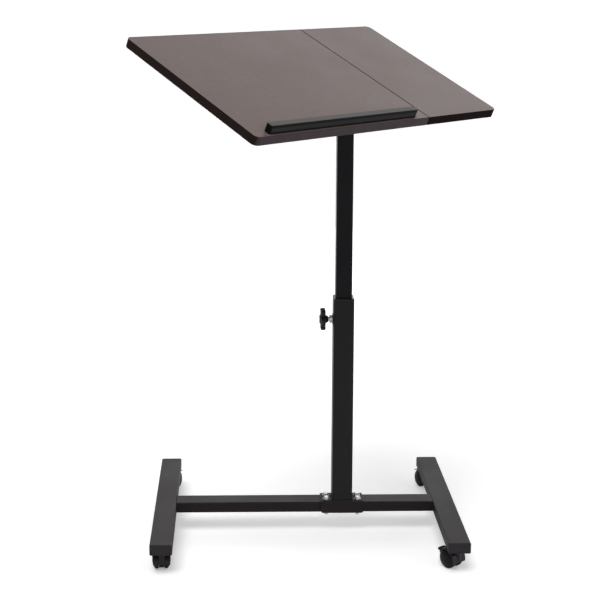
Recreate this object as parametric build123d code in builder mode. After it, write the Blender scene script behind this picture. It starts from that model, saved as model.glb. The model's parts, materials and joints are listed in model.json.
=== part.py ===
from build123d import *
from math import cos, radians, sin, sqrt
import os

os.makedirs("parts", exist_ok=True)

# A laptop table on casters: two boards side by side on a bracket that tilts and swivels, on a square mast
# that slides in a clamped tube, which is bolted over a crossbar between two feet.
# Millimetres, Z up. The front is towards -Y and the origin is on the floor under the middle of the table.

# Resting pose, in degrees
swivel_angle = 43.3
tilt_angle = 24.5

# Shared clearances and overruns
running_gap = 0.05
slide_gap = 0.15
seat_gap = 0.2
cut_overrun = 1.0

# The two boards
top_width = 600.0
top_depth = 338.0
small_board_width = 190.0
board_thickness = 15.0
board_corner_radius = 10.0
seam_gap = 0.8
band_thickness = 1.0
band_edge_round = 0.6

# Where the tilt axis holds the top
bracket_from_seam = 5.2
tilt_axis_behind_middle = 25.3
tilt_axis_below_face = 50.0

# Stop ledge along the front of the large board
ledge_length = 348.0
ledge_depth = 13.0
ledge_height = 15.0
ledge_setback = 5.0
ledge_wall = 2.0
ledge_corner_radius = 3.0
ledge_edge_round = 1.5
ledge_screw_spacing = 140.0
ledge_screw_count = 3
ledge_screw_radius = 1.75
ledge_screw_grip = 11.0
ledge_boss_wall = 1.6
countersink_radius = 3.6
countersink_depth = 2.2

# Rails under the boards and the screws that hold them
rail_length = 340.0
rail_offset = -15.0
rail_width = 20.0
rail_height = 10.0
rail_wall = 1.5
rail_spacing = 84.0
rail_screw_radius = 2.0
rail_screw_grip = 10.0
rail_screw_head_radius = 4.0
rail_screw_head_height = 2.4
pan_head_round_share = 0.6
rail_screw_from_plate = 25.0
rail_screw_from_end = 20.0

# Tilt bracket under the rails and the clevis that it turns on
sheet = 3.0
bend_radius = 4.0
tilt_plate_width = 100.0
tilt_plate_depth = 112.0
tilt_plate_corner = 6.0
ear_radius = 15.0
tilt_ear_root_depth = 60.0
clevis_width = 44.0
clevis_depth = 50.0
clevis_axis_height = 41.0
friction_washer_thickness = 1.0
friction_washer_radius = 12.0
pivot_radius = 4.0
pivot_head_flats = 13.0
pivot_head_height = 4.5
pivot_head_flange = 0.8
pivot_sleeve_radius = 6.5
tilt_washer_thickness = 1.6
tilt_washer_radius = 10.0

# Swivel bolt through the head of the mast
swivel_bolt_radius = 5.0
swivel_bolt_length = 22.0
swivel_head_flats = 16.0
swivel_head_height = 6.4
swivel_nut_height = 9.0
slip_washer_thickness = 2.0
slip_washer_radius = 20.0

# Mast: inner tube, its head plate and its guide
inner_tube_width = 30.0
inner_tube_wall = 1.5
inner_tube_corner = 2.5
inner_tube_top = 790.7
inner_tube_length = 490.0
head_plate_width = 50.0
head_plate_corner = 6.0
guide_flange = 12.0
guide_plug = 14.0

# Outer tube, its collar and its clamp
outer_tube_width = 38.0
outer_tube_wall = 1.5
outer_tube_corner = 3.0
outer_tube_top = 450.8
collar_flange = 3.0
collar_depth = 62.0
collar_round_share = 0.35
clamp_height = 411.5
clamp_boss_radius = 10.0
clamp_boss_thickness = 1.2
clamp_nut_flats = 13.0
clamp_nut_height = 5.5
stud_radius = 4.0
stud_hole_gap = 0.4
stud_tip_chamfer = 0.2
pad_radius = 3.6
pad_thickness = 2.2

# Lobed hand knobs
knob_lobes = 6
knob_radius = 21.0
knob_scallop_distance = 22.5
knob_scallop_radius = 6.8
knob_lobe_round = 2.6
knob_thickness = 9.0
knob_edge_round = 1.6
knob_hub_length = 5.2
knob_hub_tip_radius = 5.5
knob_hub_root_radius = 8.0
knob_cap_radius = 8.5
knob_cap_height = 2.0
knob_from_nut = 2.5
knob_stud_depth = 10.0
knob_cap_round_share = 0.8
tilt_knob_share = 0.85

# Feet, crossbar and their tubes
floor_to_foot = 39.0
foot_spacing = 526.0
foot_length = 440.0
foot_width = 40.0
foot_height = 20.0
foot_wall = 1.5
foot_corner = 2.5
crossbar_ahead_of_middle = 4.7
crossbar_depth = 40.0
crossbar_height = 20.0
mast_right_of_middle = 70.9
cap_flange = 5.0
cap_plug = 11.0
cap_plug_wall = 2.0
cap_edge_round = 2.2
end_block_length = 16.0
foot_bolt_radius = 3.0
foot_bolt_spacing = 20.0
foot_bolt_head_flats = 10.0
foot_bolt_head_height = 4.0
foot_bolt_flange_radius = 6.5
foot_bolt_flange = 1.2
bolt_hole_gap = 0.2
access_hole_gap = 0.5
head_chamfer_share = 0.25

# Saddle over the crossbar
saddle_width = 80.0
saddle_sheet = 2.5
saddle_below_bar = 1.0
saddle_corner_chamfer = 2.5
saddle_bolt_radius = 3.0
saddle_bolt_spacing_x = 59.0
saddle_bolt_spacing_y = 20.0
saddle_bolt_below_bar = 8.0
saddle_nut_flats = 10.0
saddle_nut_height = 5.0

# Twin-wheel casters, with how far each one's trail is turned from straight back, in degrees
caster_angles = {"front_left": 4.0, "front_right": 38.0, "rear_left": -14.0, "rear_right": 20.0}
caster_from_end = 24.0
caster_trail = 15.0
wheel_radius = 17.5
wheel_rim_wall = 2.5
wheel_edge_chamfer = 0.7
wheel_outer_chamfer = 2.2
wheel_hub_radius = 4.5
wheel_gap = 0.3
wheel_tread_width = 7.6
wheel_outer_reach = 16.5
wheel_dome_wall = 1.8
axle_radius = 2.0
axle_half_length = 14.0
axle_end_gap = 0.4
web_half = 5.0
web_radius = 17.1
web_hub_radius = 16.0
hood_half = 15.5
hood_gap = 0.8
hood_wall = 1.6
hood_start_angle = 52.0
hood_end_angle = 192.0
web_start_angle = 8.0
stem_boss_radius = 6.5
stem_pin_radius = 3.5
stem_pin_length = 16.0
stem_collar_flats = 11.0
stem_collar_height = 2.0
stem_thread_radius = 4.0
stem_thread_length = 14.0
caster_nut_width = 13.0
caster_nut_height = 6.5
brake_pivot_radius = 14.0
brake_pivot_angle = 35.0
brake_rest_angle = 12.0
brake_press_angle = 8.0
brake_hub_radius = 3.0
brake_trunnion_radius = 1.5
brake_trunnion_inset = 0.3
brake_blade_half = 2.0
brake_slot_half = 2.3
brake_slot_radius = 4.2
brake_slot_length = 12.0
brake_shoe_start = 5.5
brake_shoe_thickness = 2.0
brake_shoe_drop = 4.5
brake_shoe_half = 9.0
brake_tab_thickness = 2.0
brake_tab_reach = 14.5
brake_tab_round = 3.0

# Heights, from the floor up
foot_top = floor_to_foot + foot_height
foot_mid = floor_to_foot + foot_height / 2
bar_bottom = foot_top - crossbar_height
bar_mid = foot_top - crossbar_height / 2
saddle_top = foot_top + saddle_sheet
collar_top = outer_tube_top + collar_flange
head_plate_top = inner_tube_top + sheet
clevis_bottom = head_plate_top + slip_washer_thickness
tilt_axis_height = clevis_bottom + clevis_axis_height

# The top measured from the tilt axis: u to its right, v to its back and w up from it
bracket_from_left = top_width - small_board_width - seam_gap / 2 + bracket_from_seam
top_left = -bracket_from_left
top_right = top_left + top_width
top_front = -top_depth / 2 - tilt_axis_behind_middle
top_back = top_front + top_depth
board_under = tilt_axis_below_face - board_thickness
rail_under = board_under - rail_height
plate_under = rail_under - sheet
seam_left = top_right - small_board_width - seam_gap
seam_right = top_right - small_board_width


def top_reach(x, y):
    """How far the resting top reaches in plan from the mast's axis, towards the unit direction x, y."""
    along_u = x * cos(radians(swivel_angle)) + y * sin(radians(swivel_angle))
    along_v = y * cos(radians(swivel_angle)) - x * sin(radians(swivel_angle))
    level_v = along_v * cos(radians(tilt_angle))
    level_w = -along_v * sin(radians(tilt_angle))
    corner = board_corner_radius
    return max(
        u * along_u + v * level_v + w * level_w + corner * sqrt(along_u**2 + level_v**2)
        for u in (top_left + corner, top_right - corner)
        for v in (top_front + corner, top_back - corner)
        for w in (board_under, tilt_axis_below_face)
    )


# The mast's place puts the middle of the whole table over the origin
feet_left = -mast_right_of_middle - foot_spacing / 2 - foot_width / 2
feet_front = crossbar_ahead_of_middle - foot_length / 2
feet_right = feet_left + foot_spacing + foot_width
feet_back = feet_front + foot_length
mast_x = -(max(top_reach(1, 0), feet_right) + min(-top_reach(-1, 0), feet_left)) / 2
mast_y = -(max(top_reach(0, 1), feet_back) + min(-top_reach(0, -1), feet_front)) / 2
middle_x = mast_x - mast_right_of_middle
foot_front = mast_y + feet_front
foot_back = foot_front + foot_length
left_foot_x = middle_x - foot_spacing / 2
right_foot_x = middle_x + foot_spacing / 2

# Directions of the swivelled and tilted pieces
up = Vector(0, 0, 1)
u_dir = Vector(cos(radians(swivel_angle)), sin(radians(swivel_angle)), 0)
level_v_dir = up.cross(u_dir)
v_dir = level_v_dir * cos(radians(tilt_angle)) + up * sin(radians(tilt_angle))
w_dir = u_dir.cross(v_dir)
hub = Vector(mast_x, mast_y, tilt_axis_height)
top_frame = Plane(origin=hub, x_dir=u_dir, z_dir=w_dir)
top_side_frame = Plane(origin=hub, x_dir=v_dir, z_dir=u_dir)
swivel_frame = Plane(origin=(mast_x, mast_y, 0), x_dir=u_dir, z_dir=up)
clevis_side_frame = Plane(origin=hub, x_dir=level_v_dir, z_dir=u_dir)
mast_frame = Plane(origin=(mast_x, mast_y, 0), x_dir=(1, 0, 0), z_dir=up)


def box_section(width, height, wall, corner):
    """Draws the section of a rectangular tube on the open sketch."""
    RectangleRounded(width, height, corner)
    RectangleRounded(width - 2 * wall, height - 2 * wall, corner - wall, mode=Mode.SUBTRACT)


def hexagon(flats):
    """Draws a hexagon by its width across flats on the open sketch."""
    RegularPolygon(flats / 2, 6, major_radius=False)


def finish(part, name):
    """Labels a piece and writes it to its file."""
    part.label = name
    export_step(part, f"parts/{name}.step")


def placed(plane, spots):
    """Places on a plane, given along its own two directions, as locations."""
    return [plane.location * Location((x, y, 0)) for x, y in spots]


def ring(plane, outer_radius, bore_radius, thickness):
    """A washer or a sleeve that stands on a plane."""
    with BuildPart() as washer:
        with BuildSketch(plane):
            Circle(outer_radius)
            Circle(bore_radius, mode=Mode.SUBTRACT)
        extrude(amount=thickness)
    return washer.part


def nuts(plane, spots, flats, height, bore_radius):
    """Hexagon nuts that stand on a plane."""
    with BuildPart() as group:
        with BuildSketch(plane):
            with Locations(*spots):
                hexagon(flats)
                Circle(bore_radius, mode=Mode.SUBTRACT)
        extrude(amount=height)
    return group.part


def bolts(planes, spots, radius, length, flats, head_height, flange_radius, flange):
    """Hexagon bolts with their heads above each plane and their shanks below it."""
    with BuildPart() as group:
        for plane in planes:
            with BuildSketch(plane):
                with Locations(*spots):
                    Circle(flange_radius)
            extrude(amount=flange)
            with BuildSketch(plane.offset(flange)):
                with Locations(*spots):
                    hexagon(flats)
            extrude(amount=head_height)
            crowns = group.faces().group_by(Axis(plane.origin, plane.z_dir))[-1]
            chamfer(crowns.edges(), head_height * head_chamfer_share)
            with BuildSketch(plane):
                with Locations(*spots):
                    Circle(radius)
            extrude(amount=-length)
    return group.part


def lobed_knob(tip_plane, share, bore_radius, bore_depth):
    """A hand knob: a cone that starts at its tip, a lobed grip and a low cap, with a blind bore."""
    grip_plane = tip_plane.offset(knob_hub_length * share)
    with BuildPart() as knob:
        with BuildSketch(grip_plane) as grip:
            Circle(knob_radius * share)
            with PolarLocations(knob_scallop_distance * share, knob_lobes):
                Circle(knob_scallop_radius * share, mode=Mode.SUBTRACT)
            fillet(grip.vertices(), knob_lobe_round * share)
        extrude(amount=knob_thickness * share)
        fillet(knob.faces().filter_by(tip_plane).edges(), knob_edge_round * share)
        with BuildSketch(tip_plane):
            Circle(knob_hub_tip_radius * share)
        with BuildSketch(grip_plane):
            Circle(knob_hub_root_radius * share)
        loft()
        with BuildSketch(grip_plane.offset(knob_thickness * share)):
            Circle(knob_cap_radius * share)
        extrude(amount=knob_cap_height * share)
        crown = knob.faces().sort_by(Axis(tip_plane.origin, tip_plane.z_dir))[-1]
        fillet(crown.edges(), knob_cap_height * knob_cap_round_share * share)
        with BuildSketch(tip_plane):
            Circle(bore_radius)
        extrude(amount=bore_depth, mode=Mode.SUBTRACT)
    return knob.part


# Places of the screws in the boards
ledge_u = (top_left + seam_left) / 2
ledge_v = top_front + ledge_setback + ledge_depth / 2
ledge_spots = [
    (ledge_u + (i - (ledge_screw_count - 1) / 2) * ledge_screw_spacing, ledge_v)
    for i in range(ledge_screw_count)
]
ledge_boss_radius = ledge_screw_radius + ledge_boss_wall
rail_left = rail_offset - rail_length / 2
rail_right = rail_left + rail_length
rail_vs = (-rail_spacing / 2, rail_spacing / 2)
inner_screw_u = tilt_plate_width / 2 + rail_screw_from_plate
rail_screw_us = {
    "large": (rail_left + rail_screw_from_end, -inner_screw_u),
    "small": (inner_screw_u, rail_right - rail_screw_from_end),
}
board_face = top_frame.offset(tilt_axis_below_face)
board_under_face = top_frame.offset(board_under)

# Boards and their edge bands


def board_outline(left, right, rounded_side):
    """Draws one board seen from above, with its two outer corners rounded, on the open sketch."""
    with Locations(((left + right) / 2, (top_front + top_back) / 2)):
        blank = Rectangle(right - left, top_depth)
    fillet(blank.vertices().sort_by(Axis((0, 0, 0), (rounded_side, 0, 0)))[-2:], board_corner_radius)


for name, left, right, rounded_side in (
    ("large", top_left, seam_left, -1),
    ("small", seam_right, top_right, 1),
):
    with BuildPart() as edge_band:
        with BuildSketch(board_under_face):
            board_outline(left, right, rounded_side)
        extrude(amount=board_thickness)
        flat_faces = edge_band.faces().group_by(Axis(hub, w_dir))
        fillet(flat_faces[-1].edges() + flat_faces[0].edges(), band_edge_round)
        with BuildSketch(board_under_face):
            board_outline(left, right, rounded_side)
            offset(amount=-band_thickness, kind=Kind.INTERSECTION, mode=Mode.REPLACE)
        extrude(amount=board_thickness, mode=Mode.SUBTRACT)
    finish(edge_band.part, f"{name}_edge_band")

    with BuildPart() as board:
        with BuildSketch(board_under_face):
            board_outline(left, right, rounded_side)
            offset(amount=-band_thickness, kind=Kind.INTERSECTION, mode=Mode.REPLACE)
        extrude(amount=board_thickness)
        with BuildSketch(board_under_face):
            with Locations(*[(u, v) for u in rail_screw_us[name] for v in rail_vs]):
                Circle(rail_screw_radius + running_gap)
        extrude(amount=rail_screw_grip + running_gap, mode=Mode.SUBTRACT)
        if name == "large":
            with BuildSketch(board_under_face):
                with Locations(*ledge_spots):
                    Circle(ledge_screw_radius + running_gap)
            extrude(amount=board_thickness, mode=Mode.SUBTRACT)
            with Locations(*placed(board_under_face, ledge_spots)):
                Cone(
                    countersink_radius + running_gap,
                    ledge_screw_radius + running_gap,
                    countersink_depth,
                    align=(Align.CENTER, Align.CENTER, Align.MIN),
                    mode=Mode.SUBTRACT,
                )
    finish(board.part, f"{name}_board")

# Stop ledge, hollow below, and the screws that come up through the board into its bosses
with BuildPart() as stop_ledge:
    with BuildSketch(board_face):
        with Locations((ledge_u, ledge_v)):
            RectangleRounded(ledge_length, ledge_depth, ledge_corner_radius)
    extrude(amount=ledge_height)
    fillet(stop_ledge.faces().sort_by(Axis(hub, w_dir))[-1].edges(), ledge_edge_round)
    with BuildSketch(board_face):
        with Locations((ledge_u, ledge_v)):
            Rectangle(ledge_length - 2 * ledge_wall, ledge_depth - 2 * ledge_wall)
        with Locations(*ledge_spots):
            Circle(ledge_boss_radius, mode=Mode.SUBTRACT)
    extrude(amount=ledge_height - ledge_wall, mode=Mode.SUBTRACT)
    with BuildSketch(board_face):
        with Locations(*ledge_spots):
            Circle(ledge_screw_radius + running_gap)
    extrude(amount=ledge_screw_grip + running_gap, mode=Mode.SUBTRACT)
finish(stop_ledge.part, "stop_ledge")

with BuildPart() as ledge_screws:
    with BuildSketch(board_under_face):
        with Locations(*ledge_spots):
            Circle(ledge_screw_radius)
    extrude(amount=board_thickness + ledge_screw_grip)
    with Locations(*placed(board_under_face, ledge_spots)):
        Cone(
            countersink_radius,
            ledge_screw_radius,
            countersink_depth,
            align=(Align.CENTER, Align.CENTER, Align.MIN),
        )
finish(ledge_screws.part, "ledge_screws")

# Rails across the seam: channels that open towards the boards, with their screws
rail_under_face = top_frame.offset(rail_under)
for name, v in (("front", rail_vs[0]), ("rear", rail_vs[1])):
    with BuildPart() as rail:
        with BuildSketch(top_side_frame.offset(rail_left)):
            with Locations((v, (rail_under + board_under) / 2)):
                Rectangle(rail_width, rail_height)
            with Locations((v, (rail_under + board_under) / 2 + rail_wall)):
                Rectangle(rail_width - 2 * rail_wall, rail_height, mode=Mode.SUBTRACT)
        extrude(amount=rail_length)
        lower_edges = rail.faces().sort_by(Axis(hub, w_dir))[0].edges().filter_by(Axis(hub, u_dir))
        fillet(lower_edges, rail_wall)
        with BuildSketch(rail_under_face):
            with Locations(*[(u, v) for us in rail_screw_us.values() for u in us]):
                Circle(rail_screw_radius + running_gap)
        extrude(amount=rail_wall, mode=Mode.SUBTRACT)
    finish(rail.part, f"{name}_rail")

rail_screw_spots = [(u, v) for us in rail_screw_us.values() for u in us for v in rail_vs]
with BuildPart() as rail_screws:
    with BuildSketch(rail_under_face):
        with Locations(*rail_screw_spots):
            Circle(rail_screw_head_radius)
    extrude(amount=-rail_screw_head_height)
    crowns = rail_screws.faces().group_by(Axis(hub, w_dir))[0]
    fillet(crowns.edges(), rail_screw_head_height * pan_head_round_share)
    with BuildSketch(rail_under_face):
        with Locations(*rail_screw_spots):
            Circle(rail_screw_radius)
    extrude(amount=rail_height + rail_screw_grip)
finish(rail_screws.part, "rail_screws")

# Tilt bracket: a plate welded under the rails, with an ear on each side of the clevis
ear_inner = clevis_width / 2 + friction_washer_thickness + running_gap
ear_outer = ear_inner + sheet
with BuildPart() as tilt_bracket:
    with BuildSketch(top_frame.offset(plate_under)):
        RectangleRounded(tilt_plate_width, tilt_plate_depth, tilt_plate_corner)
    extrude(amount=sheet)
    for side in (-1, 1):
        with BuildSketch(top_side_frame.offset(side * ear_inner)):
            Circle(ear_radius)
            Polygon(
                (-ear_radius, 0),
                (ear_radius, 0),
                (tilt_ear_root_depth / 2, plate_under),
                (-tilt_ear_root_depth / 2, plate_under),
                align=None,
            )
        extrude(amount=side * sheet)
    with BuildSketch(top_side_frame):
        Circle(pivot_radius + running_gap)
    extrude(amount=ear_outer + cut_overrun, both=True, mode=Mode.SUBTRACT)
finish(tilt_bracket.part, "tilt_bracket")

# Clevis that swivels on the mast and carries the tilt axis
clevis_face = swivel_frame.offset(clevis_bottom)
with BuildPart() as tilt_clevis:
    with BuildSketch(clevis_face):
        Rectangle(clevis_width, clevis_depth)
    extrude(amount=sheet)
    for side in (-1, 1):
        with BuildSketch(clevis_side_frame.offset(side * (clevis_width / 2 - sheet))):
            Circle(ear_radius)
            Polygon(
                (-clevis_depth / 2, -clevis_axis_height),
                (clevis_depth / 2, -clevis_axis_height),
                (ear_radius, 0),
                (-ear_radius, 0),
                align=None,
            )
        extrude(amount=side * sheet)
    bends = tilt_clevis.faces().sort_by(Axis.Z)[0].edges().filter_by(Axis(hub, level_v_dir))
    fillet(bends, bend_radius)
    with BuildSketch(clevis_side_frame):
        Circle(pivot_radius + running_gap)
    extrude(amount=clevis_width, both=True, mode=Mode.SUBTRACT)
    with BuildSketch(clevis_face):
        Circle(swivel_bolt_radius + running_gap)
    extrude(amount=sheet, mode=Mode.SUBTRACT)
finish(tilt_clevis.part, "tilt_clevis")

# Pivot bolt, the sleeve that keeps the clevis's ears apart, and the washers between the ears
pivot_bolt_length = 2 * ear_outer + tilt_washer_thickness + 2 * running_gap + knob_stud_depth
pivot_bolt = bolts(
    [top_side_frame.offset(ear_outer)],
    [(0, 0)],
    pivot_radius,
    pivot_bolt_length,
    pivot_head_flats,
    pivot_head_height,
    pivot_head_flats / 2,
    pivot_head_flange,
)
finish(pivot_bolt, "pivot_bolt")
clevis_gap = clevis_width - 2 * sheet
pivot_sleeve = ring(
    clevis_side_frame.offset(-clevis_gap / 2), pivot_sleeve_radius, pivot_radius + running_gap, clevis_gap
)
finish(pivot_sleeve, "pivot_sleeve")
with BuildPart() as friction_washers:
    for side in (-1, 1):
        with BuildSketch(clevis_side_frame.offset(side * clevis_width / 2)):
            Circle(friction_washer_radius)
            Circle(pivot_radius + running_gap, mode=Mode.SUBTRACT)
        extrude(amount=side * friction_washer_thickness)
finish(friction_washers.part, "friction_washers")

# Tilt lock: a washer and a knob on the pivot bolt's left end
tilt_knob_axis = Plane(origin=hub, x_dir=w_dir, z_dir=-u_dir)
tilt_washer = ring(
    tilt_knob_axis.offset(ear_outer + running_gap),
    tilt_washer_radius,
    pivot_radius + running_gap,
    tilt_washer_thickness,
)
finish(tilt_washer, "tilt_washer")
tilt_knob = lobed_knob(
    tilt_knob_axis.offset(ear_outer + 2 * running_gap + tilt_washer_thickness),
    tilt_knob_share,
    pivot_radius + running_gap,
    knob_stud_depth + seat_gap,
)
finish(tilt_knob, "tilt_knob")

# Swivel bolt through the clevis and the mast's head plate, with its slip washer and lock nut
swivel_bolt = bolts(
    [swivel_frame.offset(clevis_bottom + sheet)],
    [(0, 0)],
    swivel_bolt_radius,
    swivel_bolt_length,
    swivel_head_flats,
    swivel_head_height,
    swivel_head_flats / 2,
    pivot_head_flange,
)
finish(swivel_bolt, "swivel_bolt")
slip_washer = ring(
    swivel_frame.offset(head_plate_top + running_gap),
    slip_washer_radius,
    swivel_bolt_radius + running_gap,
    slip_washer_thickness - running_gap,
)
finish(slip_washer, "slip_washer")
swivel_nut_bottom = inner_tube_top - running_gap - swivel_nut_height
swivel_lock_nut = nuts(
    swivel_frame.offset(swivel_nut_bottom),
    [(0, 0)],
    swivel_head_flats,
    swivel_nut_height,
    swivel_bolt_radius + running_gap,
)
finish(swivel_lock_nut, "swivel_lock_nut")

# Mast: the inner tube, the plate welded on its top and the guide in its lower end
inner_tube_bottom = inner_tube_top - inner_tube_length
with BuildPart() as inner_tube:
    with BuildSketch(mast_frame.offset(inner_tube_bottom)):
        box_section(inner_tube_width, inner_tube_width, inner_tube_wall, inner_tube_corner)
    extrude(amount=inner_tube_length)
finish(inner_tube.part, "inner_tube")

with BuildPart() as mast_head_plate:
    with BuildSketch(mast_frame.offset(inner_tube_top)):
        RectangleRounded(head_plate_width, head_plate_width, head_plate_corner)
        Circle(swivel_bolt_radius + running_gap, mode=Mode.SUBTRACT)
    extrude(amount=sheet)
finish(mast_head_plate.part, "mast_head_plate")

inner_bore = inner_tube_width - 2 * inner_tube_wall
outer_bore = outer_tube_width - 2 * outer_tube_wall
outer_bore_corner = outer_tube_corner - outer_tube_wall
guide_width = outer_bore - 2 * slide_gap
with BuildPart() as mast_guide:
    with BuildSketch(mast_frame.offset(inner_tube_bottom - guide_flange)):
        RectangleRounded(guide_width, guide_width, outer_bore_corner)
    extrude(amount=guide_flange)
    with BuildSketch(mast_frame.offset(inner_tube_bottom)):
        Rectangle(inner_bore - 2 * slide_gap, inner_bore - 2 * slide_gap)
    extrude(amount=guide_plug)
    chamfer(mast_guide.edges().filter_by(Axis.Z).group_by(Axis.Z)[-1], inner_tube_corner)
finish(mast_guide.part, "mast_guide")

# Outer tube, and the plastic collar in its mouth that the inner tube slides through
clamp_axis = Plane(origin=(mast_x, mast_y, clamp_height), x_dir=(0, 0, 1), z_dir=(-1, 0, 0))
stud_hole_radius = stud_radius + stud_hole_gap
with BuildPart() as outer_tube:
    with BuildSketch(mast_frame.offset(saddle_top)):
        box_section(outer_tube_width, outer_tube_width, outer_tube_wall, outer_tube_corner)
    extrude(amount=outer_tube_top - saddle_top)
    with BuildSketch(clamp_axis):
        Circle(stud_hole_radius)
    extrude(amount=outer_tube_width, mode=Mode.SUBTRACT)
finish(outer_tube.part, "outer_tube")

collar_bore = inner_tube_width + 2 * slide_gap
sleeve_width = outer_bore - 2 * running_gap
with BuildPart() as mast_collar:
    with BuildSketch(mast_frame.offset(outer_tube_top)):
        RectangleRounded(outer_tube_width, outer_tube_width, outer_tube_corner)
    extrude(amount=collar_flange)
    fillet(mast_collar.faces().sort_by(Axis.Z)[-1].edges(), collar_flange * collar_round_share)
    with BuildSketch(mast_frame.offset(outer_tube_top)):
        RectangleRounded(sleeve_width, sleeve_width, outer_bore_corner)
    extrude(amount=-collar_depth)
    with BuildSketch(mast_frame.offset(collar_top)):
        RectangleRounded(collar_bore, collar_bore, inner_tube_corner + slide_gap)
    extrude(amount=-collar_flange - collar_depth, mode=Mode.SUBTRACT)
    with BuildSketch(clamp_axis):
        Circle(stud_hole_radius)
    extrude(amount=outer_tube_width, mode=Mode.SUBTRACT)
finish(mast_collar.part, "mast_collar")

# Mast clamp: a boss and a nut welded on the tube, and a knob whose stud pushes a pad on the inner tube
tube_side = outer_tube_width / 2
clamp_boss = ring(clamp_axis.offset(tube_side), clamp_boss_radius, stud_hole_radius, clamp_boss_thickness)
finish(clamp_boss, "clamp_boss")
clamp_nut = nuts(
    clamp_axis.offset(tube_side + clamp_boss_thickness),
    [(0, 0)],
    clamp_nut_flats,
    clamp_nut_height,
    stud_radius + running_gap,
)
finish(clamp_nut, "clamp_nut")
pad_start = inner_tube_width / 2 + running_gap
stud_start = pad_start + pad_thickness + running_gap
knob_tip = tube_side + clamp_boss_thickness + clamp_nut_height + knob_from_nut
with BuildPart() as clamp_pad:
    with BuildSketch(clamp_axis.offset(pad_start)):
        Circle(pad_radius)
    extrude(amount=pad_thickness)
finish(clamp_pad.part, "clamp_pad")
with BuildPart() as clamp_stud:
    with BuildSketch(clamp_axis.offset(stud_start)):
        Circle(stud_radius)
    extrude(amount=knob_tip + knob_stud_depth - stud_start)
    chamfer(clamp_stud.faces().sort_by(Axis.X)[-1].edges(), stud_tip_chamfer)
finish(clamp_stud.part, "clamp_stud")
clamp_knob = lobed_knob(clamp_axis.offset(knob_tip), 1, stud_radius + running_gap, knob_stud_depth)
finish(clamp_knob, "clamp_knob")

# Saddle over the crossbar, with its bolts and the nuts under the bar
saddle_spots = [
    (x * saddle_bolt_spacing_x / 2, y * saddle_bolt_spacing_y / 2) for x in (-1, 1) for y in (-1, 1)
]
saddle_bolt_hole = saddle_bolt_radius + bolt_hole_gap
saddle_gap = crossbar_depth + 2 * running_gap
saddle_bottom = bar_bottom - saddle_below_bar
saddle_side = Plane(origin=(mast_x - saddle_width / 2, mast_y, 0), x_dir=(0, 1, 0), z_dir=(1, 0, 0))
with BuildPart() as mast_saddle:
    with BuildSketch(saddle_side):
        with Locations((0, (saddle_top + saddle_bottom) / 2)):
            Rectangle(saddle_gap + 2 * saddle_sheet, saddle_top - saddle_bottom)
        with Locations((0, (saddle_top + saddle_bottom) / 2 - saddle_sheet)):
            Rectangle(saddle_gap, saddle_top - saddle_bottom, mode=Mode.SUBTRACT)
    extrude(amount=saddle_width)
    fillet(mast_saddle.faces().sort_by(Axis.Z)[-1].edges().filter_by(Axis.X), saddle_sheet)
    chamfer(mast_saddle.edges().filter_by(Axis.Y).group_by(Axis.Z)[0], saddle_corner_chamfer)
    with BuildSketch(mast_frame.offset(saddle_top)):
        with Locations(*saddle_spots):
            Circle(saddle_bolt_hole)
    extrude(amount=-saddle_sheet, mode=Mode.SUBTRACT)
finish(mast_saddle.part, "mast_saddle")

saddle_bolts = bolts(
    [mast_frame.offset(saddle_top)],
    saddle_spots,
    saddle_bolt_radius,
    saddle_top - bar_bottom + saddle_bolt_below_bar,
    foot_bolt_head_flats,
    foot_bolt_head_height,
    foot_bolt_flange_radius,
    foot_bolt_flange,
)
finish(saddle_bolts, "saddle_bolts")
saddle_nuts = nuts(
    mast_frame.offset(bar_bottom - saddle_nut_height),
    saddle_spots,
    saddle_nut_flats,
    saddle_nut_height,
    saddle_bolt_radius + running_gap,
)
finish(saddle_nuts, "saddle_nuts")

# Crossbar, the threaded blocks in its ends and the bolts inside the feet that go into them
bar_left = left_foot_x + foot_width / 2
bar_right = right_foot_x - foot_width / 2
foot_bolt_spots = [(-foot_bolt_spacing / 2, 0), (foot_bolt_spacing / 2, 0)]
bar_left_end = Plane(origin=(bar_left, mast_y, bar_mid), x_dir=(0, 1, 0), z_dir=(1, 0, 0))
bar_right_end = Plane(origin=(bar_right, mast_y, bar_mid), x_dir=(0, 1, 0), z_dir=(-1, 0, 0))
with BuildPart() as crossbar:
    with BuildSketch(bar_left_end):
        box_section(crossbar_depth, crossbar_height, foot_wall, foot_corner)
    extrude(amount=bar_right - bar_left)
    with BuildSketch(mast_frame.offset(bar_bottom)):
        with Locations(*saddle_spots):
            Circle(saddle_bolt_hole)
    extrude(amount=crossbar_height, mode=Mode.SUBTRACT)
finish(crossbar.part, "crossbar")

end_block_width = crossbar_depth - 2 * foot_wall - 2 * foot_corner
end_block_height = crossbar_height - 2 * foot_wall - 2 * running_gap
with BuildPart() as crossbar_end_blocks:
    for bar_end in (bar_left_end, bar_right_end):
        with BuildSketch(bar_end):
            Rectangle(end_block_width, end_block_height)
            with Locations(*foot_bolt_spots):
                Circle(foot_bolt_radius + running_gap, mode=Mode.SUBTRACT)
        extrude(amount=end_block_length)
finish(crossbar_end_blocks.part, "crossbar_end_blocks")

foot_bolts = bolts(
    [
        Plane(origin=(bar_left - foot_wall, mast_y, bar_mid), x_dir=(0, 1, 0), z_dir=(-1, 0, 0)),
        Plane(origin=(bar_right + foot_wall, mast_y, bar_mid), x_dir=(0, 1, 0), z_dir=(1, 0, 0)),
    ],
    foot_bolt_spots,
    foot_bolt_radius,
    foot_wall + end_block_length - seat_gap,
    foot_bolt_head_flats,
    foot_bolt_head_height,
    foot_bolt_flange_radius,
    foot_bolt_flange,
)
finish(foot_bolts, "foot_bolts")

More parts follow.
